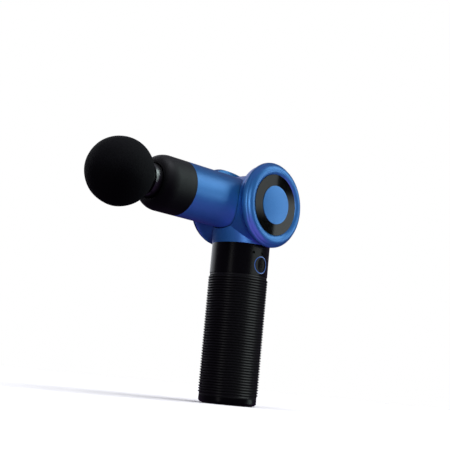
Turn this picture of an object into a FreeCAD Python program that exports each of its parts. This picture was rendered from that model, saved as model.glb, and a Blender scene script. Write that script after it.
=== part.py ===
import FreeCAD
import Part
import math
import os

# Swivel-arm percussion massager. Millimetres, +Z up along the handle.
# Origin: centre of the base. The arm points to -X at rest and pivots about a line along Y.
# The power button and the near side disc face -Y.

# ---- handle ----
GRIP_BOTTOM = 6.0
GRIP_TOP = 107.2
GRIP_R = 24.8
GROOVE_R = 23.9
RIB_PITCH = 2.2
COLLAR_BOTTOM = 107.7
COLLAR_TOP = 132.5
COLLAR_R = 24.2
CORE_R = 22.6
CORE_IN = 20.8
SLEEVE_IN = CORE_R + 0.05
FLOOR_Z = 9.5
FOOT_OUT = 21.0
FOOT_IN = 12.0
FOOT_TOP = 1.8
BASE_BOTTOM = 0.8
BASE_R = 24.0
BASE_SCREW_CIRCLE = 16.5
JACK_R = 5.0
JACK_BORE = 2.85
CELL_R = 9.2
CELL_LENGTH = 65.0
CELL_CIRCLE = 10.8
HOLDER = 2.0
SPIGOT_SCREW_Z = 129.7

# ---- controls ----
BUTTON_Z = 116.1
BUTTON_R = 6.3
RING_R = 7.2
LED_Z = 125.6
LED_R = 1.0
LED_ANGLES = (-20.8, 0.0, 20.8)
LED_RECESS = 0.3
BOARD_FRONT = -15.6
BOARD_BACK = -14.0

# ---- hub ----
PIVOT_Z = 166.0
YOKE_R = 33.2
YOKE_HALF = 27.0
ARM_GAP = 0.8
TRUNNION_R = 11.0
TRUNNION_BORE = 8.0
TRUNNION_END = 29.5
BEZEL_R = 35.2
FAR_BEZEL_R = 31.2
BEZEL_IN = 25.2
BEZEL_SEAT = 29.5
FACE_HALF = 35.3
CARRIER_FACE = 31.5
CAP_R = 15.85

# ---- arm ----
BARREL_R = 22.2
BARREL_WALL = 2.0
BARREL_END = -80.0
DRUM_R = 26.3
DRUM_HALF = 22.2
DRUM_INNER = DRUM_HALF - BARREL_WALL
BULKHEAD_X = -62.0
NOSE_STRAIGHT = -98.0
NOSE_END = -109.0
NOSE_TIP_R = 15.2
NOSE_BORE = 14.3
GUIDE_IN = 14.6

# ---- drive and head ----
CRANK_THROW = 5.0
ROD_LENGTH = 40.0
WRIST_X = CRANK_THROW - ROD_LENGTH
PLUNGER_R = 13.25
PLUNGER_FRONT = -115.5
PLUNGER_REAR = -43.0
SOCKET_R = 9.8
SOCKET_END = -60.0
STEM_R = 9.72
STEM_END = -97.0
SEAL_X = -106.0
BALL_R = 26.5
BALL_FLAT_X = -117.3
BALL_X = BALL_FLAT_X - 24.0
BALL_BORE_R = 10.05
BALL_BORE_X = BALL_FLAT_X - 32.5

# ---- fastener sizes ----
HEAD_R = 2.0
HEAD_BORE = 2.2
PLUG_R = 2.15
SHANK_R = 1.2
SHANK_BORE = 1.22
SMALL_SHANK = 1.0
SMALL_BORE = 1.02

FAR = 60.0

X = FreeCAD.Vector(1, 0, 0)
Y = FreeCAD.Vector(0, 1, 0)
Z = FreeCAD.Vector(0, 0, 1)
NODES = {}


def v(x, y, z):
    return FreeCAD.Vector(x, y, z)


def cyl_x(r, x0, x1, y=0.0, z=PIVOT_Z):
    return Part.makeCylinder(r, x1 - x0, v(x0, y, z), X)


def cyl_y(r, y0, y1, x=0.0, z=PIVOT_Z):
    return Part.makeCylinder(r, y1 - y0, v(x, y0, z), Y)


def cyl_z(r, z0, z1, x=0.0, y=0.0):
    return Part.makeCylinder(r, z1 - z0, v(x, y, z0), Z)


def box(x0, x1, y0, y1, z0, z1):
    return Part.makeBox(x1 - x0, y1 - y0, z1 - z0, v(x0, y0, z0))


def ring_x(outer, inner, x0, x1):
    return cyl_x(outer, x0, x1).cut(cyl_x(inner, x0 - 1, x1 + 1))


def ring_y(outer, inner, y0, y1, x=0.0):
    return cyl_y(outer, y0, y1, x).cut(cyl_y(inner, y0 - 1, y1 + 1, x))


def ring_z(outer, inner, z0, z1):
    return cyl_z(outer, z0, z1).cut(cyl_z(inner, z0 - 1, z1 + 1))


def fuse(shapes):
    out = shapes[0]
    for shape in shapes[1:]:
        out = out.fuse(shape)
    return out.removeSplitter()


def group(shapes):
    return Part.makeCompound(shapes)


def mirror_y(shape):
    return shape.mirror(v(0, 0, 0), Y)


def both_sides(shape):
    return group([shape, mirror_y(shape)])


def on_circle(radius, angles):
    return [(radius * math.cos(math.radians(a)), radius * math.sin(math.radians(a))) for a in angles]


def spin_z(outline):
    """Turn a (radius, z) outline about the handle's axis."""
    points = [v(r, 0, z) for r, z in outline]
    face = Part.Face(Part.makePolygon(points + [points[0]]))
    return face.revolve(v(0, 0, 0), Z, 360)


def spin_pivot(edges, axis):
    """Turn closed edges about an axis through the pivot."""
    face = Part.Face(Part.Wire(edges))
    return face.revolve(v(0, 0, PIVOT_Z), axis, 360)


def arc(a, middle, b):
    return Part.Arc(a, middle, b).toShape()


def lines(points):
    return [Part.makeLine(a, b) for a, b in zip(points, points[1:])]


def at(y, r):
    """A point of a side disc's outline: y across, r out from the pivot line."""
    return v(0, y, PIVOT_Z + r)


BASE_SCREWS = on_circle(BASE_SCREW_CIRCLE, (90.0, 210.0, 330.0))
CELLS = on_circle(CELL_CIRCLE, (90.0, 210.0, 330.0))
LED_X = [COLLAR_R * math.sin(math.radians(a)) for a in LED_ANGLES]


# ---- handle: core tube, sleeves, base ----
def make_core():
    core = ring_z(CORE_R, CORE_IN, GRIP_BOTTOM, COLLAR_TOP)
    core = fuse([core, cyl_z(CORE_IN + 0.5, GRIP_BOTTOM, FLOOR_Z)])
    core = core.cut(cyl_z(JACK_R + 0.15, 0, FLOOR_Z + 1))
    core = core.cut(cyl_y(RING_R + 0.1, -30, -10, 0, BUTTON_Z))
    for x in LED_X:
        core = core.cut(cyl_y(LED_R + 0.1, -30, -10, x, LED_Z))
    for x, y in BASE_SCREWS:
        core = core.cut(cyl_z(SMALL_BORE, 0, FLOOR_Z + 1, x, y))
    for turn in (0, 180):
        shank = cyl_x(1.15, 15.0, 30.0, 0, SPIGOT_SCREW_Z)
        sink = cyl_x(2.05, 21.4, 30.0, 0, SPIGOT_SCREW_Z)
        for hole in (shank, sink):
            hole.rotate(v(0, 0, 0), Z, turn)
            core = core.cut(hole)
    NODES["handle_core"] = core


def make_grip():
    """The ribbed sleeve: flat-topped ribs with sloping flanks between narrow grooves."""
    flank = 0.35
    crest_end = 1.15
    rib_width = 1.5
    top_margin = 1.6
    ribs = int((GRIP_TOP - GRIP_BOTTOM - 3.0) / RIB_PITCH)
    start = GRIP_TOP - top_margin - ribs * RIB_PITCH
    outline = [(SLEEVE_IN, GRIP_BOTTOM), (GROOVE_R, GRIP_BOTTOM)]
    for i in range(ribs):
        z = start + i * RIB_PITCH
        outline.append((GROOVE_R, z))
        outline.append((GRIP_R, z + flank))
        outline.append((GRIP_R, z + crest_end))
        outline.append((GROOVE_R, z + rib_width))
    outline += [(GROOVE_R, GRIP_TOP), (SLEEVE_IN, GRIP_TOP)]
    NODES["grip_sleeve"] = spin_z(outline)


def make_collar():
    collar = ring_z(COLLAR_R, SLEEVE_IN, COLLAR_BOTTOM, COLLAR_TOP)
    collar = collar.cut(cyl_y(RING_R + 0.05, -30, 0, 0, BUTTON_Z))
    for x in LED_X:
        collar = collar.cut(cyl_y(LED_R + 0.05, -30, 0, x, LED_Z))
    NODES["control_collar"] = collar
    NODES["grip_joint_ring"] = ring_z(COLLAR_R - 0.5, SLEEVE_IN, GRIP_TOP, COLLAR_BOTTOM)


def make_base():
    sink_top = 3.2
    bevel = 1.6
    base = spin_z([
        (0, BASE_BOTTOM),
        (BASE_R - bevel, BASE_BOTTOM),
        (BASE_R, BASE_BOTTOM + bevel),
        (BASE_R, GRIP_BOTTOM),
        (0, GRIP_BOTTOM),
    ])
    base = base.cut(cyl_z(JACK_R + 0.1, FOOT_TOP, 20))
    base = base.cut(cyl_z(3.4, 0, 20))
    base = base.cut(ring_z(FOOT_OUT, FOOT_IN, 0, FOOT_TOP))
    screws = []
    for x, y in BASE_SCREWS:
        base = base.cut(cyl_z(1.15, 0, 10, x, y))
        base = base.cut(cyl_z(2.05, 0, sink_top, x, y))
        head = cyl_z(1.95, FOOT_TOP, sink_top, x, y)
        screws.append(fuse([head, cyl_z(SMALL_SHANK, sink_top, 9.2, x, y)]))
    NODES["base_cap"] = base
    NODES["foot_pad"] = ring_z(FOOT_OUT - 0.05, FOOT_IN + 0.05, 0, FOOT_TOP)
    NODES["base_screws"] = group(screws)


def make_inlet():
    """A round charging inlet with its contact pin, open downwards."""
    bore_end = FLOOR_Z - 1.0
    jack = cyl_z(JACK_R, FOOT_TOP, FLOOR_Z)
    NODES["charge_jack"] = jack.cut(cyl_z(JACK_BORE, 0, bore_end))
    NODES["charge_pin"] = cyl_z(1.0, 3.0, bore_end)


def make_battery():
    low = FLOOR_Z + HOLDER
    high = low + CELL_LENGTH
    NODES["battery_cells"] = group([cyl_z(CELL_R, low, high, x, y) for x, y in CELLS])
    lower = cyl_z(CORE_IN - 0.3, FLOOR_Z, low).cut(cyl_z(1.5, 0, 40))
    upper = cyl_z(CORE_IN - 0.3, high, high + HOLDER)
    NODES["battery_holders"] = group([lower, upper])
    board_top = high + HOLDER + 1.6
    NODES["protection_board"] = cyl_z(18.5, high + HOLDER, board_top)
    NODES["board_carrier"] = box(-12.0, 12.0, BOARD_BACK, -12.0, board_top, 126.4)


def make_controls():
    """Board, switch, three level lights, and a dished button in a light ring, flush with the sleeve."""
    flush = cyl_z(COLLAR_R + 0.1, COLLAR_BOTTOM, COLLAR_TOP)
    front = -24.5
    NODES["control_board"] = box(-10.5, 10.5, BOARD_FRONT, BOARD_BACK, 100.0, 126.8)
    NODES["tact_switch"] = box(-3.0, 3.0, -19.0, BOARD_FRONT, BUTTON_Z - 3.0, BUTTON_Z + 3.0)
    skirt = -21.4
    button = cyl_y(BUTTON_R, front, skirt, 0, BUTTON_Z)
    button = fuse([button, cyl_y(2.0, skirt, -19.9, 0, BUTTON_Z)])
    dish_r = 40.0
    dish_bottom = -23.8
    dish = Part.makeSphere(dish_r, v(0, dish_bottom - dish_r, BUTTON_Z))
    NODES["power_button"] = button.cut(dish).common(flush)
    hole = cyl_y(BUTTON_R + 0.3, -30, -20.3, 0, BUTTON_Z)
    light = cyl_y(RING_R, front, -19.5, 0, BUTTON_Z).common(flush).cut(hole)
    light = light.cut(cyl_y(4.5, -30, -10, 0, BUTTON_Z))
    legs = [
        box(x - 0.6, x + 0.6, -19.5, BOARD_FRONT, BUTTON_Z - 1, BUTTON_Z + 1) for x in (-5.6, 5.6)
    ]
    NODES["button_ring_light"] = fuse([light] + legs)
    lights = []
    for x in LED_X:
        tip = LED_RECESS - math.sqrt(COLLAR_R ** 2 - x ** 2)
        lights.append(cyl_y(LED_R, tip, BOARD_FRONT, x, LED_Z))
    NODES["level_leds"] = group(lights)


# ---- yoke: drum between the side discs, blended into the collar ----
YOKE_SCREWS = ((-18.0, 137.0), (18.0, 137.0))


def yoke_outside():
    lip = 1.2
    rim = at(-YOKE_HALF, YOKE_R + lip)
    rim_end = at(-YOKE_HALF + 5.0, YOKE_R)
    flare = [
        Part.makeLine(at(-YOKE_HALF, 0), rim),
        arc(rim, at(-YOKE_HALF + 1.9, YOKE_R + 0.35), rim_end),
    ]
    flare += lines([rim_end, at(0, YOKE_R), at(0, 0), at(-YOKE_HALF, 0)])
    half = spin_pivot(flare, Y)
    drum = fuse([half, mirror_y(half)])
    drum = drum.cut(box(-FAR, FAR, -FAR, FAR, 100, COLLAR_TOP))
    # outline, seen along X, that narrows the drum's underside into the handle
    shoulder_z = 139.0
    foot = v(-FAR, -COLLAR_R, COLLAR_TOP)
    bend = v(-FAR, -26.2, COLLAR_TOP + 2.2)
    shoulder = v(-FAR, -YOKE_HALF, shoulder_z)
    side = [arc(foot, bend, shoulder)]
    side += lines([
        shoulder,
        v(-FAR, -YOKE_HALF, 260),
        v(-FAR, YOKE_HALF, 260),
        v(-FAR, YOKE_HALF, shoulder_z),
    ])
    side.append(arc(v(-FAR, YOKE_HALF, shoulder_z), v(-FAR, -bend.y, bend.z), v(-FAR, COLLAR_R, COLLAR_TOP)))
    side.append(Part.makeLine(v(-FAR, COLLAR_R, COLLAR_TOP), foot))
    envelope = Part.Face(Part.Wire(side)).extrude(v(2 * FAR, 0, 0))
    circle = Part.Wire(Part.makeCircle(COLLAR_R, v(0, 0, COLLAR_TOP), Z))
    ellipse = Part.Wire(Part.Ellipse(v(0, 0, 152.0), 30.0, 26.95).toShape())
    skirt = Part.makeLoft([circle, ellipse], True)
    return drum.common(envelope).fuse(skirt)


def make_yoke():
    outside = yoke_outside()
    spigot_foot = 127.0
    yoke = outside.fuse(cyl_z(CORE_IN - 0.1, spigot_foot, COLLAR_TOP + 0.5))
    yoke = yoke.cut(cyl_z(18.2, 120.0, COLLAR_TOP))
    # room for the arm through its quarter turn, from -X up to +Z
    clear = BARREL_R + ARM_GAP
    side_clear = DRUM_HALF + ARM_GAP
    yoke = yoke.cut(cyl_y(DRUM_R + ARM_GAP, -side_clear, side_clear))
    yoke = yoke.cut(cyl_x(clear, -FAR, 0))
    yoke = yoke.cut(Part.makeCylinder(clear, FAR, v(0, 0, PIVOT_Z), Z))
    yoke = yoke.cut(box(-FAR, 0, -clear, clear, PIVOT_Z, PIVOT_Z + FAR))
    yoke = yoke.cut(cyl_y(TRUNNION_R + 0.06, -40, 40))
    # wire passage from the handle up into the hub
    yoke = yoke.cut(cyl_z(4.0, 120.0, 140.0))
    head_seat = 12.0
    head_top = 13.6
    screws = []
    plugs = []
    for x, z in YOKE_SCREWS:
        yoke = yoke.cut(cyl_y(SHANK_BORE, -10.2, 20.0, x, z))
        yoke = yoke.cut(cyl_y(HEAD_BORE, head_seat, 30.0, x, z))
        head = cyl_y(HEAD_R, head_seat, head_top, x, z)
        screws.append(fuse([head, cyl_y(SHANK_R, -9.8, head_seat, x, z)]))
        plugs.append(outside.common(cyl_y(PLUG_R, head_top, 30.0, x, z)))
    spigot_screws = []
    for turn in (0, 180):
        bore = cyl_x(SMALL_BORE, 15.0, 30.0, 0, SPIGOT_SCREW_Z)
        head = cyl_x(1.9, 21.4, 22.4, 0, SPIGOT_SCREW_Z)
        screw = fuse([head, cyl_x(SMALL_SHANK, 18.6, 21.4, 0, SPIGOT_SCREW_Z)])
        for shape in (bore, screw):
            shape.rotate(v(0, 0, 0), Z, turn)
        yoke = yoke.cut(bore)
        spigot_screws.append(screw)
    NODES["yoke_near_shell"] = yoke.common(box(-80, 80, -80, 0, 100, 260))
    NODES["yoke_far_shell"] = yoke.common(box(-80, 80, 0, 80, 100, 260))
    NODES["yoke_screws"] = group(screws)
    NODES["yoke_screw_plugs"] = group(plugs)
    NODES["spigot_screws"] = group(spigot_screws)


# ---- side discs: bezel, gloss ring, centre cap, carrier, friction ring ----
def bezel_shape(outer, brow_reach):
    """A rounded rim: a bead at its back, then a broad crown that dips to the gloss ring."""
    back = at(-YOKE_HALF, outer - 1.2)
    front = at(-YOKE_HALF - 5.4, outer - 1.4)
    brow = at(-FACE_HALF + 1.0, BEZEL_IN + 0.6)
    crown = at(-FACE_HALF, BEZEL_IN + brow_reach)
    edges = [arc(back, at(-YOKE_HALF - 2.6, outer), front), arc(front, crown, brow)]
    edges += lines([
        brow,
        at(-FACE_HALF + 1.6, BEZEL_IN),
        at(-CARRIER_FACE, BEZEL_IN),
        at(-CARRIER_FACE, BEZEL_SEAT),
        at(-YOKE_HALF, BEZEL_SEAT),
        back,
    ])
    return spin_pivot(edges, Y)


def make_discs():
    ring_face = -34.3
    ring = ring_y(BEZEL_IN - 0.08, 20.5, ring_face, -CARRIER_FACE)
    ring = fuse([ring, ring_y(22.0, CAP_R + 0.12, ring_face, -32.6)])
    carrier = ring_y(27.5, 14.8, -CARRIER_FACE, -30.2)
    carrier = fuse([carrier, ring_y(27.5, 24.5, -CARRIER_FACE, -YOKE_HALF)])
    crown_r = 150.0
    crown = Part.makeSphere(crown_r, v(0, crown_r - 35.6, PIVOT_Z))
    cap = cyl_y(CAP_R, -36.0, -CARRIER_FACE).common(crown)
    friction = ring_y(15.2, TRUNNION_R + 0.35, -29.3, -YOKE_HALF)
    NODES["bezel_near"] = bezel_shape(BEZEL_R, 4.8)
    NODES["bezel_far"] = mirror_y(bezel_shape(FAR_BEZEL_R, 2.6))
    NODES["gloss_ring_near"] = ring
    NODES["gloss_ring_far"] = mirror_y(ring)
    NODES["disc_carriers"] = both_sides(carrier)
    NODES["centre_cap_near"] = cap
    NODES["centre_cap_far"] = mirror_y(cap)
    NODES["friction_rings"] = both_sides(friction)


# ---- arm: barrel and rear drum, split in two shells on the middle plane ----
FRONT_SCREWS = ((-54.0, 17.6), (-54.0, -17.6))
DRUM_SCREWS = ((15.4, 15.4), (15.4, -15.4), (-15.4, 15.4), (-15.4, -15.4))
MOTOR_PILLARS = on_circle(21.0, (0.0, 120.0, 240.0))
RETAINER_PINS = on_circle(9.5, (90.0, 210.0, 330.0))
ARM_SCREWS = [(x, z, 9.5) for x, z in FRONT_SCREWS] + [(x, z, 19.0) for x, z in DRUM_SCREWS]
PLATE_FRONT = 7.0
PLATE_BACK = 9.0


def arm_outside():
    return fuse([cyl_x(BARREL_R, BARREL_END, 0), cyl_y(DRUM_R, -DRUM_HALF, DRUM_HALF)])


def arm_shell(outside):
    barrel_in = BARREL_R - BARREL_WALL
    inside = fuse([
        cyl_x(barrel_in, BARREL_END - 1, 0.0),
        cyl_y(DRUM_R - BARREL_WALL, -DRUM_INNER, DRUM_INNER),
    ])
    shell = outside.cut(inside)
    shell = shell.fuse(ring_x(barrel_in + 0.4, GUIDE_IN, BULKHEAD_X, BULKHEAD_X + 2.0))
    bosses = [cyl_y(2.3, -seat - 1.5, seat + 1.5, x, PIVOT_Z + z) for x, z, seat in ARM_SCREWS]
    bosses += [cyl_y(2.0, PLATE_BACK, DRUM_INNER + 0.5, x, PIVOT_Z + z) for x, z in MOTOR_PILLARS]
    posts = bosses[0]
    for boss in bosses[1:]:
        posts = posts.fuse(boss)
    shell = shell.fuse(posts.common(outside))
    trunnion = ring_y(TRUNNION_R, TRUNNION_BORE, DRUM_INNER, TRUNNION_END)
    shell = shell.fuse(trunnion).fuse(mirror_y(trunnion))
    shell = shell.cut(cyl_y(TRUNNION_BORE, -40, -DRUM_INNER + 0.5))
    return shell.cut(cyl_y(TRUNNION_BORE, DRUM_INNER - 0.5, 40))


def make_arm():
    outside = arm_outside()
    shell = arm_shell(outside)
    head = 1.6
    screws = []
    for x, z, seat in ARM_SCREWS:
        height = PIVOT_Z + z
        shell = shell.cut(cyl_y(SHANK_BORE, -8.2, seat, x, height))
        shell = shell.cut(cyl_y(HEAD_BORE, seat, 40, x, height))
        shank = cyl_y(SHANK_R, -8.0, seat, x, height)
        screws.append(fuse([cyl_y(HEAD_R, seat, seat + head, x, height), shank]))
    for x, z in MOTOR_PILLARS:
        shell = shell.cut(cyl_y(SMALL_BORE, 8.0, 16.0, x, PIVOT_Z + z))
    retainer = ring_y(13.6, 6.0, -31.0, -TRUNNION_END)
    pins = []
    for x, z in RETAINER_PINS:
        height = PIVOT_Z + z
        for side in (-1, 1):
            middle = side * 28.0
            shell = shell.cut(cyl_y(0.82, middle - 4.0, middle + 4.0, x, height))
        retainer = retainer.cut(cyl_y(0.85, -32.0, -28.0, x, height))
        pin = cyl_y(0.8, -30.9, -24.4, x, height)
        pins += [pin, mirror_y(pin)]
    plug_foot = ARM_SCREWS[0][2] + head
    plugs = [outside.common(cyl_y(PLUG_R, plug_foot, 30.0, x, PIVOT_Z + z)) for x, z in FRONT_SCREWS]
    NODES["arm_near_shell"] = shell.common(box(-120, 60, -60, 0, 100, 260))
    NODES["arm_far_shell"] = shell.common(box(-120, 60, 0, 60, 100, 260))
    NODES["arm_screws"] = group(screws)
    NODES["arm_screw_plugs"] = group(plugs)
    NODES["pivot_retainers"] = both_sides(retainer)
    NODES["retainer_pins"] = group(pins)


def make_nose():
    """A soft nose with a quarter-ellipse shoulder and a hole for the plunger."""
    length = NOSE_STRAIGHT - NOSE_END
    rise = BARREL_R - NOSE_TIP_R
    shoulder = []
    for degrees in range(0, 91, 10):
        turn = math.radians(degrees)
        radius = NOSE_TIP_R + rise * math.cos(turn)
        shoulder.append(v(NOSE_STRAIGHT - length * math.sin(turn), 0, PIVOT_Z + radius))
    curve = Part.BSplineCurve()
    curve.interpolate(shoulder)
    rear = v(BARREL_END, 0, PIVOT_Z + BARREL_R)
    step_x = -100.0
    step_r = 18.0
    edges = [Part.makeLine(rear, shoulder[0]), Part.Edge(curve)]
    edges += lines([
        shoulder[-1],
        v(NOSE_END, 0, PIVOT_Z + NOSE_BORE),
        v(step_x, 0, PIVOT_Z + NOSE_BORE),
        v(step_x, 0, PIVOT_Z + step_r),
        v(BARREL_END, 0, PIVOT_Z + step_r),
        rear,
    ])
    NODES["nose_cover"] = spin_pivot(edges, X)
    NODES["nose_wiper"] = ring_x(NOSE_BORE - 0.05, PLUNGER_R + 0.35, -107.0, -104.0)
    guide = ring_x(16.2, GUIDE_IN, step_x, BULKHEAD_X)
    guide = fuse([guide, ring_x(step_r - 0.1, GUIDE_IN, step_x, step_x + 2.0)])
    guide = fuse([guide, ring_x(20.1, GUIDE_IN, BULKHEAD_X - 2.0, BULKHEAD_X)])
    NODES["guide_tube"] = guide
    spans = ((-99.5, -91.0), (-74.0, -64.0))
    NODES["guide_bushes"] = group([ring_x(GUIDE_IN - 0.05, PLUNGER_R + 0.07, a, b) for a, b in spans])


# ---- motor in the rear drum, its axis on the pivot line ----
def make_motor():
    can_r = 18.5
    can_end = 20.0
    core_end = 17.8
    end_wall = 18.6
    bearing_r = 6.0
    shaft_r = 2.5
    can = ring_y(can_r, can_r - 1.0, PLATE_BACK, can_end)
    NODES["motor_can"] = fuse([can, ring_y(can_r, bearing_r + 0.05, end_wall, can_end)])
    ears = [cyl_y(2.4, PLATE_FRONT, PLATE_BACK, x, PIVOT_Z + z) for x, z in MOTOR_PILLARS]
    plate = fuse([cyl_y(can_r + 0.4, PLATE_FRONT, PLATE_BACK)] + ears)
    plate = plate.cut(cyl_y(bearing_r + 0.05, 5.0, 12.0))
    screws = []
    for x, z in MOTOR_PILLARS:
        height = PIVOT_Z + z
        plate = plate.cut(cyl_y(1.1, 5.0, 12.0, x, height))
        head = cyl_y(1.9, PLATE_FRONT - 1.0, PLATE_FRONT, x, height)
        screws.append(fuse([head, cyl_y(SMALL_SHANK, PLATE_FRONT, 15.5, x, height)]))
    NODES["motor_plate"] = plate
    NODES["motor_screws"] = group(screws)
    NODES["stator"] = ring_y(can_r - 1.05, 10.9, PLATE_BACK, core_end)
    NODES["motor_bearings"] = group([
        ring_y(bearing_r, shaft_r + 0.06, PLATE_FRONT + 0.2, PLATE_BACK),
        ring_y(bearing_r, shaft_r + 0.06, end_wall, can_end),
    ])
    NODES["rotor_core"] = ring_y(10.5, shaft_r + 0.02, PLATE_BACK + 0.6, core_end)
    shaft_start = 4.4
    NODES["motor_shaft"] = cyl_y(shaft_r, shaft_start, 19.6)
    crank = cyl_y(12.0, 4.0, 6.6).cut(cyl_y(shaft_r + 0.02, shaft_start, 8.0))
    crank = crank.fuse(cyl_y(3.0, 3.3, 4.2, CRANK_THROW))
    for side in (-1, 1):
        crank = crank.cut(cyl_y(2.6, 3.0, 8.0, 4.0, PIVOT_Z + side * 7.2))
    NODES["eccentric_crank"] = crank.removeSplitter()


def make_rod_and_plunger():
    rod_half = 3.0
    pin_r = 2.5
    eye_bearing = 5.0
    wrist_eye = 5.5
    rod = fuse([
        cyl_y(7.5, -rod_half, rod_half, CRANK_THROW),
        cyl_y(wrist_eye, -rod_half, rod_half, WRIST_X),
        box(WRIST_X, CRANK_THROW, -2.2, 2.2, PIVOT_Z - 3.5, PIVOT_Z + 3.5),
    ])
    rod = rod.cut(cyl_y(eye_bearing + 0.05, -5, 5, CRANK_THROW))
    NODES["connecting_rod"] = rod.cut(cyl_y(pin_r + 0.07, -5, 5, WRIST_X))
    NODES["rod_bearing"] = ring_y(eye_bearing, 3.05, -rod_half, rod_half, CRANK_THROW)
    ear_out = 8.5
    ear = box(PLUNGER_REAR - 2.0, WRIST_X, 3.4, ear_out, PIVOT_Z - wrist_eye, PIVOT_Z + wrist_eye)
    ear = ear.fuse(cyl_y(wrist_eye, 3.4, ear_out, WRIST_X))
    plunger = cyl_x(PLUNGER_R, PLUNGER_FRONT, PLUNGER_REAR)
    plunger = plunger.cut(cyl_x(SOCKET_R, PLUNGER_FRONT - 1, SOCKET_END))
    plunger = fuse([plunger, mirror_y(ear), ear])
    NODES["plunger"] = plunger.cut(cyl_y(pin_r + 0.02, -12, 12, WRIST_X))
    NODES["wrist_pin"] = cyl_y(pin_r, -ear_out, ear_out, WRIST_X)


# ---- pull-off head: stem, seal ring, foam ball ----
def make_head():
    shoulder = PLUNGER_FRONT - 0.1
    seal_in = 8.6
    seal_end = SEAL_X + 2.0
    stem = fuse([
        cyl_x(STEM_R, shoulder, STEM_END),
        cyl_x(12.4, BALL_FLAT_X, shoulder),
        cyl_x(BALL_BORE_R - 0.05, BALL_BORE_X, BALL_FLAT_X),
    ])
    NODES["head_stem"] = stem.cut(ring_x(11.0, seal_in, SEAL_X, seal_end))
    NODES["stem_seal"] = ring_x(STEM_R + 0.03, seal_in + 0.05, SEAL_X, seal_end)
    ball = Part.makeSphere(BALL_R, v(BALL_X, 0, PIVOT_Z))
    ball = ball.cut(box(BALL_FLAT_X, 0, -40, 40, PIVOT_Z - 40, PIVOT_Z + 40))
    NODES["foam_ball"] = ball.cut(cyl_x(BALL_BORE_R, BALL_BORE_X, BALL_FLAT_X + 1))


make_core()
make_grip()
make_collar()
make_base()
make_inlet()
make_battery()
make_controls()
make_yoke()
make_discs()
make_arm()
make_nose()
make_motor()
make_rod_and_plunger()
make_head()

os.makedirs("parts", exist_ok=True)
for name, shape in NODES.items():
    shape.exportStep("parts/" + name + ".step")
    print(name, len(shape.Solids), round(shape.Volume, 1), shape.isValid())
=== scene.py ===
import math
import bmesh
import bpy
from mathutils import Matrix, Vector, noise


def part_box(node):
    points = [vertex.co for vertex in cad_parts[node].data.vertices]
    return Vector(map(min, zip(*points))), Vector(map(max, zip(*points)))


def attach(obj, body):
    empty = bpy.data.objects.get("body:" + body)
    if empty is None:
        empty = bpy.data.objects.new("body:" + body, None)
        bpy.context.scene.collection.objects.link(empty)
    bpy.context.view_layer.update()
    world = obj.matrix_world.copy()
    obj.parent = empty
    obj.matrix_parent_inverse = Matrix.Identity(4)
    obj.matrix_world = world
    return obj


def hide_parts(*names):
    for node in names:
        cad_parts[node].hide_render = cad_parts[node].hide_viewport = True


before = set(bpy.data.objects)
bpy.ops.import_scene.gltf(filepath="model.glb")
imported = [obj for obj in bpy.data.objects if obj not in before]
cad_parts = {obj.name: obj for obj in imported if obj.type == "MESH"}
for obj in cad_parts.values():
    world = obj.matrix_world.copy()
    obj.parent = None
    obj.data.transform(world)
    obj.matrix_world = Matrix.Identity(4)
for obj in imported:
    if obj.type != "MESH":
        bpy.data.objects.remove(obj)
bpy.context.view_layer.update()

# ---- places worked out from the frame ----
RING_LOW, RING_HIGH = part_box("gloss_ring_near")
RING_CENTRE = Vector((0.0, RING_LOW[1], (RING_LOW[2] + RING_HIGH[2]) / 2))
RING_SPAN = RING_HIGH[2] - RING_LOW[2]
BUTTON_LOW, BUTTON_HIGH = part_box("power_button")
BALL_LOW, BALL_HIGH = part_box("foam_ball")
STEM_TIP_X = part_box("head_stem")[0][0]

# ---- camera: low, in front of the hub's button side and towards the head ----
TARGET = Vector((-0.050, 0.0, 0.120))
AZIMUTH = math.radians(-45.2)
ELEVATION = math.radians(-7.6)
ROLL = math.radians(5.5)
DISTANCE = 0.80
LENS = 79.5
SENSOR_WIDTH = 36.0
SHIFT_X = 0.0590
SHIFT_Y = 0.0588


def camera_axes():
    """Unit vectors of the camera: right and up, both turned by the roll, and back towards it."""
    back = Vector((
        math.sin(AZIMUTH) * math.cos(ELEVATION),
        -math.cos(AZIMUTH) * math.cos(ELEVATION),
        math.sin(ELEVATION),
    ))
    right = Vector((0, 0, 1)).cross(back).normalized()
    up = back.cross(right)
    turned_right = math.cos(ROLL) * right + math.sin(ROLL) * up
    turned_up = -math.sin(ROLL) * right + math.cos(ROLL) * up
    return turned_right, turned_up, back


RIGHT, UP, BACK = camera_axes()


def make_camera():
    data = bpy.data.cameras.new("camera")
    data.lens = LENS
    data.sensor_width = SENSOR_WIDTH
    data.shift_x = SHIFT_X
    data.shift_y = SHIFT_Y
    data.clip_start = 0.01
    camera = bpy.data.objects.new("camera", data)
    turn = Matrix((RIGHT, UP, BACK)).transposed().to_4x4()
    camera.matrix_world = Matrix.Translation(TARGET + BACK * DISTANCE) @ turn
    bpy.context.scene.collection.objects.link(camera)
    bpy.context.scene.camera = camera


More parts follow.
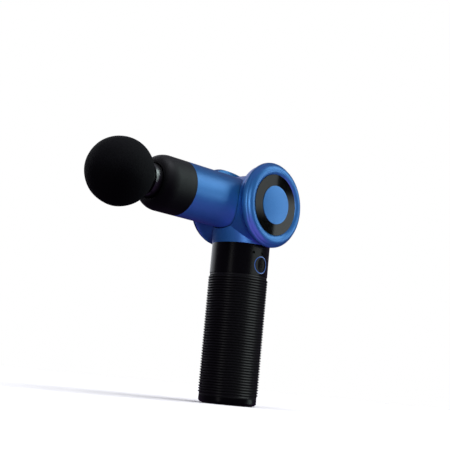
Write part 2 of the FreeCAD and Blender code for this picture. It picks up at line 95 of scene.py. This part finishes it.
# ---- materials ----
class Shader:
    """A principled material with helpers for procedural detail."""

    def __init__(self, name, rough, metallic=0.0, **constants):
        self.material = bpy.data.materials.new(name)
        self.material.use_nodes = True
        self.tree = self.material.node_tree
        self.shader = self.tree.nodes["Principled BSDF"]
        self.shader.inputs["Roughness"].default_value = rough
        self.shader.inputs["Metallic"].default_value = metallic
        for socket, value in constants.items():
            self.shader.inputs[socket.replace("_", " ")].default_value = value
        self.space = self.node("ShaderNodeTexCoord").outputs["Object"]

    def node(self, kind, **values):
        made = self.tree.nodes.new(kind)
        for key, value in values.items():
            setattr(made, key, value)
        return made

    def link(self, a, b):
        self.tree.links.new(a, b)

    def noise(self, scale, detail=3.0, stretch=None):
        made = self.node("ShaderNodeTexNoise")
        made.inputs["Scale"].default_value = scale
        made.inputs["Detail"].default_value = detail
        source = self.space
        if stretch:
            mapping = self.node("ShaderNodeMapping")
            mapping.inputs["Scale"].default_value = stretch
            self.link(source, mapping.inputs["Vector"])
            source = mapping.outputs["Vector"]
        self.link(source, made.inputs["Vector"])
        return made.outputs["Fac"]

    def cells(self, scale):
        made = self.node("ShaderNodeTexVoronoi")
        made.inputs["Scale"].default_value = scale
        self.link(self.space, made.inputs["Vector"])
        return made.outputs["Distance"]

    def ramp(self, factor, stops):
        made = self.node("ShaderNodeValToRGB")
        ramp = made.color_ramp
        while len(ramp.elements) < len(stops):
            ramp.elements.new(0.5)
        for element, (place, colour) in zip(ramp.elements, stops):
            element.position = place
            element.color = (*colour, 1.0)
        self.link(factor, made.inputs["Fac"])
        return made.outputs["Color"]

    def colour(self, factor, stops):
        self.link(self.ramp(factor, stops), self.shader.inputs["Base Color"])

    def roughness(self, factor, low, high):
        made = self.node("ShaderNodeMapRange")
        made.inputs["To Min"].default_value = low
        made.inputs["To Max"].default_value = high
        self.link(factor, made.inputs["Value"])
        self.link(made.outputs["Result"], self.shader.inputs["Roughness"])

    def bump(self, height, distance, strength=1.0, after=None):
        made = self.node("ShaderNodeBump")
        made.inputs["Distance"].default_value = distance
        made.inputs["Strength"].default_value = strength
        self.link(height, made.inputs["Height"])
        if after:
            self.link(after, made.inputs["Normal"])
        self.link(made.outputs["Normal"], self.shader.inputs["Normal"])
        return made.outputs["Normal"]


PEARL_EDGE_TINT = (0.75, 0.60, 1.0, 1.0)
PEARL_SHADES = [
    (0.30, (0.012, 0.128, 0.34)),
    (0.55, (0.018, 0.170, 0.43)),
    (0.78, (0.058, 0.275, 0.59)),
]


def pearl_blue():
    """Satin blue paint with fine pearl flakes and a violet cast where it turns away."""
    s = Shader(
        "pearl_blue", 0.40, 0.45,
        Coat_Weight=0.16, Coat_Roughness=0.3, Specular_Tint=PEARL_EDGE_TINT,
    )
    flakes = s.noise(4200.0, 2.0)
    s.colour(flakes, PEARL_SHADES)
    s.roughness(s.noise(160.0, 3.0), 0.36, 0.44)
    s.bump(flakes, 0.00001, 0.35)
    return s.material


def soft_black():
    s = Shader("soft_black", 0.56, 0.0, Specular_IOR_Level=0.30)
    s.colour(s.noise(900.0), [(0.3, (0.005, 0.0053, 0.0054)), (0.7, (0.009, 0.0095, 0.0096))])
    s.roughness(s.noise(220.0), 0.50, 0.62)
    s.bump(s.noise(6000.0, 2.0), 0.00001, 0.5)
    return s.material


RIB_PITCH = 0.0022
FIRST_RIB = 0.0088
CREST_ROUGHNESS = 0.32
GROOVE_ROUGHNESS = 0.95
GROOVE = (1.0, 1.0, 1.0)
CREST = (0.0, 0.0, 0.0)
RIB_PROFILE = [(0.08, GROOVE), (0.18, CREST), (0.50, CREST), (0.60, GROOVE)]


def grip_rubber():
    """Black rubber with ribs, whose crests are worn smooth while the grooves stay matt."""
    s = Shader("grip_rubber", 0.34, 0.0, Specular_IOR_Level=0.42)
    split = s.node("ShaderNodeSeparateXYZ")
    s.link(s.space, split.inputs["Vector"])
    count = s.node("ShaderNodeMath", operation="MULTIPLY_ADD")
    count.inputs[1].default_value = 1 / RIB_PITCH
    count.inputs[2].default_value = -FIRST_RIB / RIB_PITCH
    s.link(split.outputs["Z"], count.inputs[0])
    phase = s.node("ShaderNodeMath", operation="FRACT")
    s.link(count.outputs[0], phase.inputs[0])
    matt = s.ramp(phase.outputs[0], RIB_PROFILE)
    s.colour(s.noise(700.0), [(0.3, (0.002, 0.002, 0.0024)), (0.7, (0.004, 0.004, 0.0046))])
    s.roughness(matt, CREST_ROUGHNESS, GROOVE_ROUGHNESS)
    s.bump(s.noise(5000.0, 2.0), 0.00001, 0.5)
    return s.material


def satin_black():
    s = Shader("satin_black", 0.26, 0.0, Specular_IOR_Level=0.18)
    s.colour(s.noise(500.0), [(0.3, (0.002, 0.002, 0.0024)), (0.7, (0.004, 0.004, 0.0045))])
    s.roughness(s.noise(260.0), 0.22, 0.30)
    s.bump(s.noise(7000.0, 2.0), 0.000006, 0.4)
    return s.material


def gloss_black():
    s = Shader("gloss_black", 0.04, 0.0, Coat_Weight=1.0, Coat_Roughness=0.04)
    s.colour(s.noise(90.0), [(0.3, (0.001, 0.001, 0.0012)), (0.7, (0.002, 0.002, 0.0022))])
    s.roughness(s.noise(140.0), 0.03, 0.05)
    return s.material


def foam_black():
    s = Shader("foam_black", 0.86, 0.0, Specular_IOR_Level=0.15)
    grain = s.cells(1500.0)
    shades = [(0.3, (0.0016, 0.0017, 0.0020)), (0.7, (0.0056, 0.0060, 0.0070))]
    s.colour(s.noise(1100.0, 4.0), shades)
    s.roughness(s.noise(400.0), 0.76, 0.92)
    first = s.bump(grain, 0.00012, 0.8)
    s.bump(s.noise(3600.0, 4.0), 0.00006, 0.6, first)
    return s.material


def satin_metal():
    s = Shader("satin_metal", 0.30, 1.0)
    s.colour(s.noise(600.0), [(0.3, (0.17, 0.17, 0.171)), (0.7, (0.23, 0.23, 0.231))])
    turned = s.noise(1.0, 2.0, (9000.0, 40.0, 40.0))
    s.roughness(turned, 0.24, 0.38)
    s.bump(turned, 0.000004, 0.5)
    return s.material


def plated_steel():
    s = Shader("plated_steel", 0.28, 1.0)
    s.colour(s.noise(800.0), [(0.3, (0.42, 0.42, 0.44)), (0.7, (0.56, 0.56, 0.58))])
    s.roughness(s.noise(500.0), 0.20, 0.36)
    return s.material


def copper():
    s = Shader("wound_copper", 0.35, 1.0)
    wave = s.node("ShaderNodeTexWave")
    wave.inputs["Scale"].default_value = 900.0
    s.link(s.space, wave.inputs["Vector"])
    s.colour(wave.outputs["Fac"], [(0.2, (0.30, 0.09, 0.03)), (0.8, (0.62, 0.25, 0.10))])
    s.bump(wave.outputs["Fac"], 0.0001, 0.8)
    return s.material


def cell_sleeve():
    s = Shader("cell_sleeve", 0.35)
    s.colour(s.noise(60.0), [(0.3, (0.01, 0.16, 0.12)), (0.7, (0.02, 0.22, 0.17))])
    s.roughness(s.noise(200.0), 0.28, 0.44)
    return s.material


def nylon():
    s = Shader("natural_nylon", 0.5, Subsurface_Weight=0.1)
    s.colour(s.noise(300.0), [(0.3, (0.52, 0.50, 0.44)), (0.7, (0.62, 0.60, 0.54))])
    s.roughness(s.noise(500.0), 0.42, 0.58)
    return s.material


def board_green():
    s = Shader("board_green", 0.4)
    s.colour(s.cells(900.0), [(0.1, (0.005, 0.10, 0.035)), (0.6, (0.012, 0.16, 0.06))])
    s.roughness(s.noise(300.0), 0.32, 0.50)
    return s.material


def structural_black():
    s = Shader("structural_black", 0.55)
    s.colour(s.noise(400.0), [(0.3, (0.010, 0.010, 0.011)), (0.7, (0.020, 0.020, 0.022))])
    s.roughness(s.noise(500.0), 0.46, 0.62)
    return s.material


def lit_blue(name, power):
    s = Shader(name, 0.3)
    tone = s.ramp(s.noise(400.0), [(0.3, (0.045, 0.12, 0.40)), (0.7, (0.075, 0.17, 0.50))])
    s.link(tone, s.shader.inputs["Base Color"])
    s.link(tone, s.shader.inputs["Emission Color"])
    s.shader.inputs["Emission Strength"].default_value = power
    return s.material


def unlit_lens():
    s = Shader("unlit_lens", 0.6, Specular_IOR_Level=0.03)
    s.colour(s.noise(400.0), [(0.3, (0.0003, 0.0003, 0.0004)), (0.7, (0.0006, 0.0006, 0.0008))])
    return s.material


BLUE = pearl_blue()
SOFT = soft_black()
GRIP = grip_rubber()
SATIN = satin_black()
GLOSS = gloss_black()
FOAM = foam_black()
METAL = satin_metal()
STEEL = plated_steel()
STRUCTURE = structural_black()
LIGHT_RING = lit_blue("ring_light", 0.45)
LENS_DARK = unlit_lens()

BLUE_NODES = (
    "yoke_near_shell yoke_far_shell bezel_near bezel_far centre_cap_near centre_cap_far "
    "yoke_screw_plugs arm_near_shell arm_far_shell arm_screw_plugs"
).split()

LOOKS = [
    (BLUE, " ".join(BLUE_NODES)),
    (SOFT, "nose_cover foot_pad nose_wiper stem_seal"),
    (GRIP, "grip_sleeve"),
    (SATIN, "control_collar base_cap grip_joint_ring power_button head_stem"),
    (GLOSS, "gloss_ring_near gloss_ring_far"),
    (FOAM, "foam_ball"),
    (METAL, "plunger guide_tube motor_plate connecting_rod"),
    (STEEL, "base_screws yoke_screws spigot_screws arm_screws retainer_pins pivot_retainers"),
    (STEEL, "motor_screws motor_can motor_bearings motor_shaft rotor_core eccentric_crank"),
    (STEEL, "wrist_pin rod_bearing charge_pin"),
    (cell_sleeve(), "battery_cells"),
    (copper(), "stator"),
    (nylon(), "guide_bushes friction_rings"),
    (board_green(), "protection_board control_board"),
    (STRUCTURE, "handle_core battery_holders board_carrier disc_carriers tact_switch charge_jack"),
    (LIGHT_RING, "button_ring_light"),
    (LENS_DARK, "level_leds"),
]


def dress_nodes():
    """Give every node its material."""
    for material, names in LOOKS:
        for name in names.split():
            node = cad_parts[name]
            for place in node.material_slots:
                place.material = material
            if not node.material_slots:
                node.data.materials.append(material)


# ---- pieces, in metres ----
def new_object(name, mesh_maker, material):
    """A smooth shaded object whose mesh is filled in by mesh_maker."""
    mesh = bpy.data.meshes.new(name)
    work = bmesh.new()
    mesh_maker(work)
    bmesh.ops.recalc_face_normals(work, faces=work.faces)
    work.to_mesh(mesh)
    work.free()
    mesh.materials.append(material)
    for face in mesh.polygons:
        face.use_smooth = True
    made = bpy.data.objects.new(name, mesh)
    bpy.context.scene.collection.objects.link(made)
    return made


BALL_RINGS = 220
BALL_SEGMENTS = 320
STEM_BORE = 0.01005
FOAM_GRAIN = 0.00010
FOAM_GRAIN_SCALE = 2600.0
FOAM_WAVE = 0.00022
FOAM_WAVE_SCALE = 95.0
ON_AXIS = 1e-7


def foam_ball():
    """The foam head: a ball with a flat back, a stem hole and a skin of fine open cells."""
    low, high = Vector(BALL_LOW), Vector(BALL_HIGH)
    radius = (high.z - low.z) / 2
    centre = Vector((low.x + radius, 0.0, (high.z + low.z) / 2))
    flat = high.x - centre.x
    depth = high.x - STEM_TIP_X

    def outline():
        """Half section from the front pole round to the flat back and down the stem's bore."""
        edge = math.acos(flat / radius)
        points = []
        for i in range(BALL_RINGS + 1):
            angle = math.pi - (math.pi - edge) * i / BALL_RINGS
            points.append((radius * math.cos(angle), radius * math.sin(angle)))
        points.append((flat, STEM_BORE))
        points.append((flat - depth, STEM_BORE))
        points.append((flat - depth, 0.0))
        return points

    def build(work):
        rows = []
        for along, out in outline():
            if out < ON_AXIS:
                rows.append([work.verts.new(centre + Vector((along, 0, 0)))])
                continue
            row = []
            for k in range(BALL_SEGMENTS):
                turn = 2 * math.pi * k / BALL_SEGMENTS
                point = Vector((along, out * math.cos(turn), out * math.sin(turn)))
                row.append(work.verts.new(centre + point))
            rows.append(row)
        for a, b in zip(rows, rows[1:]):
            for k in range(BALL_SEGMENTS):
                after = (k + 1) % BALL_SEGMENTS
                if len(a) == 1:
                    work.faces.new((a[0], b[k], b[after]))
                elif len(b) == 1:
                    work.faces.new((a[k], b[0], a[after]))
                else:
                    work.faces.new((a[k], b[k], b[after], a[after]))
        for row in rows[:BALL_RINGS]:
            for vert in row:
                away = (vert.co - centre).normalized()
                grain = noise.noise(vert.co * FOAM_GRAIN_SCALE) * FOAM_GRAIN
                wave = noise.noise(vert.co * FOAM_WAVE_SCALE) * FOAM_WAVE
                vert.co += away * (grain + wave - FOAM_GRAIN)

    ball = new_object("foam_ball_skin", build, FOAM)
    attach(ball, "head")
    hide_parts("foam_ball")


def tube_along(work, points, radius, sides=12):
    """A round tube along a list of points that lie in one XZ plane."""
    rings = []
    for i, point in enumerate(points):
        before = points[max(i - 1, 0)]
        after = points[min(i + 1, len(points) - 1)]
        ahead = (after - before).normalized()
        side = ahead.cross(Vector((0, 1, 0))).normalized()
        ring = []
        for k in range(sides):
            turn = 2 * math.pi * k / sides
            offset = side * math.cos(turn) + Vector((0, 1, 0)) * math.sin(turn)
            ring.append(work.verts.new(point + offset * radius))
        rings.append(ring)
    for a, b in zip(rings, rings[1:]):
        for k in range(sides):
            after = (k + 1) % sides
            work.faces.new((a[k], a[after], b[after], b[k]))
    work.faces.new(list(reversed(rings[0])))
    work.faces.new(rings[-1])


MARK_RADIUS = 0.0019
MARK_LINE = 0.00022
MARK_SUNK = 0.00054
MARK_ARC_START = math.radians(125)
MARK_ARC_SWEEP = math.radians(290)
MARK_ARC_STEPS = 32
MARK_BAR_PLACES = (0.15, 0.6, 1.15)


def power_mark():
    """The usual on-off sign, an open circle with a short bar, proud of the button's dish."""
    middle = (Vector(BUTTON_LOW) + Vector(BUTTON_HIGH)) / 2
    face = Vector((0.0, BUTTON_LOW[1] + MARK_SUNK, middle.z))

    def build(work):
        arc = []
        for i in range(MARK_ARC_STEPS + 1):
            turn = MARK_ARC_START + MARK_ARC_SWEEP * i / MARK_ARC_STEPS
            arc.append(face + Vector((math.cos(turn), 0, math.sin(turn))) * MARK_RADIUS)
        tube_along(work, arc, MARK_LINE)
        bar = [face + Vector((0, 0, MARK_RADIUS * part)) for part in MARK_BAR_PLACES]
        tube_along(work, bar, MARK_LINE)

    mark = new_object("power_mark", build, LENS_DARK)
    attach(mark, "button")


# ---- floor and light ----
FLOOR_HALF = 12.0


def make_floor():
    """A wide pale floor that the camera sees but that throws no light or shadow on the object."""
    def build(work):
        signs = [(-1, -1), (1, -1), (1, 1), (-1, 1)]
        work.faces.new([work.verts.new(Vector((x, y, 0.0)) * FLOOR_HALF) for x, y in signs])

    s = Shader("floor", 0.6, Specular_IOR_Level=0.2)
    s.colour(s.noise(1.5), [(0.3, (0.82, 0.83, 0.84)), (0.7, (0.84, 0.85, 0.86))])
    s.roughness(s.noise(20.0), 0.55, 0.65)
    floor = new_object("floor", build, s.material)
    floor.visible_diffuse = False
    floor.visible_glossy = False
    floor.visible_shadow = False
    return floor


CARD_BEYOND = 0.50
CARD_REACH = 0.6
CARD_FADE = (-0.45, 0.05)
CARD_GLOW = (0.92, 1.0, 1.0, 1.0)
CARDS = [("card_left", -1, 1, 0.45), ("card_right", 1, -1, 0.62)]


def make_reflection_cards():
    """Two dim cards whose reflections meet on the middle line of the near gloss ring.

    The left one glows in its upper half and the right one in its lower half.
    """
    camera_place = TARGET + BACK * DISTANCE
    mirrored = Vector((camera_place.x, 2 * RING_CENTRE.y - camera_place.y, camera_place.z))
    ahead = (RING_CENTRE - mirrored).normalized()
    middle = RING_CENTRE + ahead * CARD_BEYOND
    across = Vector((-ahead.y, ahead.x, 0.0)).normalized()
    if across.x < 0:
        across = -across
    up = across.cross(ahead).normalized()
    if up.z < 0:
        up = -up
    spread = 1 + CARD_BEYOND / (RING_CENTRE - mirrored).length
    reach = CARD_REACH * RING_SPAN * spread
    turn = Matrix((across, up, across.cross(up))).transposed().to_4x4()
    for name, side, bright, power in CARDS:
        def build(work):
            corners = [(0, -1), (1, -1), (1, 1), (0, 1)]
            points = [Vector((side * x * reach, y * reach, 0)) for x, y in corners]
            work.faces.new([work.verts.new(point) for point in points])

        s = Shader(name, 1.0)
        s.shader.inputs["Base Color"].default_value = (0, 0, 0, 1)
        split = s.node("ShaderNodeSeparateXYZ")
        s.link(s.space, split.inputs["Vector"])
        glow = s.node("ShaderNodeMapRange", interpolation_type="SMOOTHSTEP")
        glow.inputs["From Min"].default_value = CARD_FADE[0] * bright * reach
        glow.inputs["From Max"].default_value = CARD_FADE[1] * bright * reach
        glow.inputs["To Max"].default_value = power
        s.link(split.outputs["Y"], glow.inputs["Value"])
        s.shader.inputs["Emission Color"].default_value = CARD_GLOW
        s.link(glow.outputs["Result"], s.shader.inputs["Emission Strength"])
        card = new_object(name, build, s.material)
        card.matrix_world = Matrix.Translation(middle) @ turn
        card.visible_camera = False
        card.visible_diffuse = False
        card.visible_shadow = False


def from_angles(azimuth, elevation):
    """The direction towards a lamp: azimuth 0 is in front, at -Y, and 90 is at +X."""
    turn, rise = math.radians(azimuth), math.radians(elevation)
    flat = math.cos(rise)
    return Vector((math.sin(turn) * flat, -math.cos(turn) * flat, math.sin(rise)))


def link_light(lamp, pieces, included):
    """Let a lamp light only the given pieces, or everything but them."""
    receivers = bpy.data.collections.new(lamp.name + "_receivers")
    for piece in pieces:
        receivers.objects.link(piece)
    for entry in receivers.collection_objects:
        entry.light_linking.link_state = "INCLUDE" if included else "EXCLUDE"
    lamp.light_linking.receiver_collection = receivers


def area_light(name, angles, distance, size, power, colour, only=(), never=()):
    """A rectangular lamp that faces the target; only and never say what it lights."""
    data = bpy.data.lights.new(name, "AREA")
    data.shape = "RECTANGLE"
    data.size, data.size_y = size
    data.energy = power
    data.color = colour
    lamp = bpy.data.objects.new(name, data)
    toward = from_angles(*angles)
    lamp.location = TARGET + toward * distance
    lamp.rotation_euler = toward.to_track_quat("Z", "Y").to_euler()
    bpy.context.scene.collection.objects.link(lamp)
    if only:
        link_light(lamp, only, True)
    else:
        link_light(lamp, [FLOOR, *never], False)


HANDLE_NODES = "grip_sleeve control_collar grip_joint_ring power_button".split()
COOL = (0.82, 1.0, 0.96)
PALE_COOL = (0.90, 1.0, 0.98)
PALE_MINT = (0.95, 1.0, 0.96)
SKY = (0.88, 0.92, 1.0)
PALE_SKY = (0.92, 0.96, 1.0)
WHITE = (1.0, 1.0, 1.0)
MAGENTA = (1.0, 0.15, 0.62)
VIOLET = (1.0, 0.30, 0.9)
FLOOR_POWER = 4.4
FLOOR_SOFTNESS = math.radians(60)
FLOOR_ANGLES = (-20, 65)


def make_lights():
    """White lamps for the shapes, two violet ones for the paint's cast, and a sun for the floor."""
    blue = [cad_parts[name] for name in BLUE_NODES]
    handle = [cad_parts[name] for name in HANDLE_NODES]
    area_light("key", (54, 22), 1.0, (0.42, 1.10), 4.7, COOL, never=handle)
    area_light("handle_light", (24, 6), 1.0, (0.70, 1.10), 4.4, PALE_COOL, only=handle)
    area_light("left_strip", (-82, 10), 0.95, (0.14, 0.9), 0.5, WHITE)
    area_light("top", (-30, 70), 1.0, (0.6, 0.5), 4.4, SKY, never=blue)
    area_light("rim_fill", (-32, 4), 1.0, (0.30, 0.60), 4.8, PALE_MINT, only=blue)
    area_light("violet_below", (-10, -50), 1.0, (1.40, 1.00), 8.5, MAGENTA, only=blue)
    area_light("violet_above", (-10, 78), 1.0, (1.20, 0.80), 1.2, VIOLET, only=blue)
    area_light("back_fill", (170, 25), 1.2, (1.20, 1.00), 5.0, PALE_SKY)
    sun = bpy.data.lights.new("floor_light", "SUN")
    sun.energy = FLOOR_POWER
    sun.angle = FLOOR_SOFTNESS
    lamp = bpy.data.objects.new("floor_light", sun)
    lamp.rotation_euler = from_angles(*FLOOR_ANGLES).to_track_quat("Z", "Y").to_euler()
    bpy.context.scene.collection.objects.link(lamp)
    link_light(lamp, [FLOOR], True)


WORLD_STOPS = [(0.48, (0.05, 0.03, 0.07, 1.0)), (0.80, (0.18, 0.17, 0.22, 1.0))]


def make_world():
    """A dim blue-violet surround that is darker below; the camera sees plain white."""
    world = bpy.data.worlds.new("studio")
    world.use_nodes = True
    tree = world.node_tree
    around = tree.nodes["Background"]
    place = tree.nodes.new("ShaderNodeTexCoord")
    split = tree.nodes.new("ShaderNodeSeparateXYZ")
    ramp = tree.nodes.new("ShaderNodeValToRGB")
    for element, (place_on_ramp, colour) in zip(ramp.color_ramp.elements, WORLD_STOPS):
        element.position = place_on_ramp
        element.color = colour
    half = tree.nodes.new("ShaderNodeMapRange")
    half.inputs["From Min"].default_value = -1.0
    tree.links.new(place.outputs["Generated"], split.inputs["Vector"])
    tree.links.new(split.outputs["Z"], half.inputs["Value"])
    tree.links.new(half.outputs["Result"], ramp.inputs["Fac"])
    tree.links.new(ramp.outputs["Color"], around.inputs["Color"])
    seen = tree.nodes.new("ShaderNodeBackground")
    seen.inputs["Color"].default_value = (1.0, 1.0, 1.0, 1.0)
    mix = tree.nodes.new("ShaderNodeMixShader")
    path = tree.nodes.new("ShaderNodeLightPath")
    tree.links.new(path.outputs["Is Camera Ray"], mix.inputs["Fac"])
    tree.links.new(around.outputs["Background"], mix.inputs[1])
    tree.links.new(seen.outputs["Background"], mix.inputs[2])
    tree.links.new(mix.outputs["Shader"], tree.nodes["World Output"].inputs["Surface"])
    bpy.context.scene.world = world


bpy.context.scene.view_settings.view_transform = "Standard"
make_camera()
FLOOR = make_floor()
make_reflection_cards()
make_lights()
make_world()
dress_nodes()
foam_ball()
power_mark()
